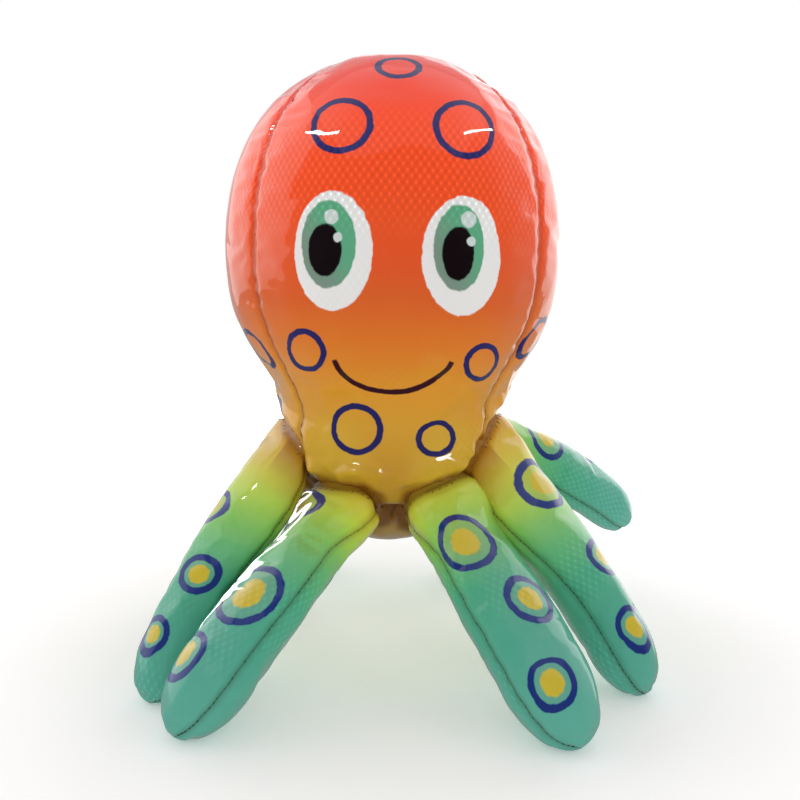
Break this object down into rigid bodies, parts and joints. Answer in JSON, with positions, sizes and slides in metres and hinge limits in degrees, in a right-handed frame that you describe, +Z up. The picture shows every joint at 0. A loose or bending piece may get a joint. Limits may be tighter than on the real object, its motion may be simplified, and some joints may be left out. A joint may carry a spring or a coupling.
{
  "type": "plush octopus",
  "caption": "Stuffed plush octopus with a glossy printed cover, a domed head with a smiling face, and stubby ringed arms that flex at their roots.",
  "frame": {"origin": "the middle of the bounding box, on the surface that the arm tips stand on", "axes": "+Z up through the head, the face looks along -Y, +X is to the right of a viewer who faces it"},
  "size_m": [0.1398, 0.1306, 0.156],
  "materials": {
    "head_print": "woven polyester cloth, printed, under a clear gloss film",
    "belly_print": "woven polyester cloth, printed, under a clear gloss film",
    "arm_print": "woven polyester cloth, printed, under a clear gloss film",
    "fibre": "loose white polyester fibre"
  },
  "bodies": {
    "body": {"head_front_panel": "head_print", "head_right_panel": "head_print", "head_left_panel": "head_print", "belly_panel": "belly_print", "body_filling": "fibre"},
    "arm_front_left": {"arm_front_left_upper": "arm_print", "arm_front_left_under": "arm_print", "arm_front_left_filling": "fibre"},
    "arm_front_right": {"arm_front_right_upper": "arm_print", "arm_front_right_under": "arm_print", "arm_front_right_filling": "fibre"},
    "arm_side_left": {"arm_side_left_upper": "arm_print", "arm_side_left_under": "arm_print", "arm_side_left_filling": "fibre"},
    "arm_side_right": {"arm_side_right_upper": "arm_print", "arm_side_right_under": "arm_print", "arm_side_right_filling": "fibre"},
    "arm_rear_side_left": {"arm_rear_side_left_upper": "arm_print", "arm_rear_side_left_under": "arm_print", "arm_rear_side_left_filling": "fibre"},
    "arm_rear_side_right": {"arm_rear_side_right_upper": "arm_print", "arm_rear_side_right_under": "arm_print", "arm_rear_side_right_filling": "fibre"},
    "arm_rear_left": {"arm_rear_left_upper": "arm_print", "arm_rear_left_under": "arm_print", "arm_rear_left_filling": "fibre"},
    "arm_rear_right": {"arm_rear_right_upper": "arm_print", "arm_rear_right_under": "arm_print", "arm_rear_right_filling": "fibre"}
  },
  "joints": [
    {"name": "front_left_arm_root", "type": "hinge", "parent": "body", "child": "arm_front_left", "pos_m": [-0.0212, -0.02256, 0.04715], "axis": [-0.7771, 0.6293, 0], "range_deg": [-5, 40], "stiffness_Nm_per_rad": 0.25},
    {"name": "front_right_arm_root", "type": "hinge", "parent": "body", "child": "arm_front_right", "pos_m": [0.00766, -0.02213, 0.04847], "axis": [-0.8387, -0.5446, 0], "range_deg": [-5, 40], "stiffness_Nm_per_rad": 0.25},
    {"name": "side_left_arm_root", "type": "hinge", "parent": "body", "child": "arm_side_left", "pos_m": [-0.03542, -0.00771, 0.062], "axis": [-0.7986, 0.6018, 0], "range_deg": [-5, 40], "stiffness_Nm_per_rad": 0.25},
    {"name": "side_right_arm_root", "type": "hinge", "parent": "body", "child": "arm_side_right", "pos_m": [0.02014, -0.00819, 0.062], "axis": [-0.6018, -0.7986, 0], "range_deg": [-5, 40], "stiffness_Nm_per_rad": 0.25},
    {"name": "rear_side_left_arm_root", "type": "hinge", "parent": "body", "child": "arm_rear_side_left", "pos_m": [-0.03325, 0.01175, 0.0587], "axis": [0.2924, 0.9563, 0], "range_deg": [-5, 40], "stiffness_Nm_per_rad": 0.25},
    {"name": "rear_side_right_arm_root", "type": "hinge", "parent": "body", "child": "arm_rear_side_right", "pos_m": [0.01903, 0.00999, 0.062], "axis": [0.4695, -0.8829, 0], "range_deg": [-5, 40], "stiffness_Nm_per_rad": 0.25},
    {"name": "rear_left_arm_root", "type": "hinge", "parent": "body", "child": "arm_rear_left", "pos_m": [-0.01879, 0.02443, 0.05276], "axis": [0.866, 0.5, 0], "range_deg": [-5, 40], "stiffness_Nm_per_rad": 0.25},
    {"name": "rear_right_arm_root", "type": "hinge", "parent": "body", "child": "arm_rear_right", "pos_m": [0.00408, 0.02423, 0.05276], "axis": [0.8572, -0.515, 0], "range_deg": [-5, 40], "stiffness_Nm_per_rad": 0.25}
  ]
}
